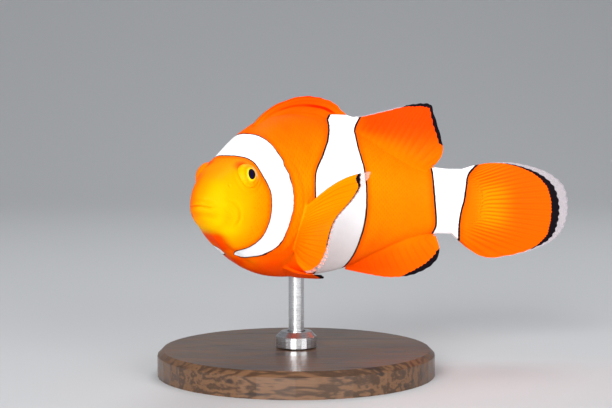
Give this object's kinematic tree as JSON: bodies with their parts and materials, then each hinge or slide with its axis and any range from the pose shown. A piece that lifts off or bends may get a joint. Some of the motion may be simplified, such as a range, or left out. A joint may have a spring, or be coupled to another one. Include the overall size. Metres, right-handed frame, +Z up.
{
  "type": "clown anemonefish model on a display stand",
  "caption": "Life-size still clownfish, head turned towards the viewer and fins spread, held by a rod over a round flat base.",
  "frame": {"origin": "centre of the flat underside of the display stand's base, under the rod", "axes": "+Z up; the fish's head points to -X and turns towards -Y, its tail trails to +X, its left side faces -Y"},
  "size_m": [0.0833, 0.054, 0.054],
  "materials": {
    "scaled_skin": "satin fish skin with small overlapping scales, orange with three white bars edged in black",
    "fin": "thin rayed fins, orange with a black edge and a pale clear margin",
    "eye": "glossy clear eye, black pupil in a yellow-orange iris",
    "stand_wood": "turned dark wood, satin varnish",
    "stand_steel": "brushed stainless steel"
  },
  "bodies": {
    "root": {"head": "scaled_skin", "lower_jaw": "scaled_skin", "gill_cover_left": "scaled_skin", "gill_cover_right": "scaled_skin", "eye_left": "eye", "eye_right": "eye", "trunk": "scaled_skin", "tail_stalk": "scaled_skin", "dorsal_fin_spiny": "fin", "dorsal_fin_soft": "fin", "anal_fin": "fin", "tail_fin": "fin", "pectoral_fin_left": "fin", "pectoral_fin_right": "fin", "pelvic_fin_left": "fin", "pelvic_fin_right": "fin", "stand_base": "stand_wood", "stand_rod": "stand_steel", "stand_collar": "stand_steel"}
  },
  "joints": []
}
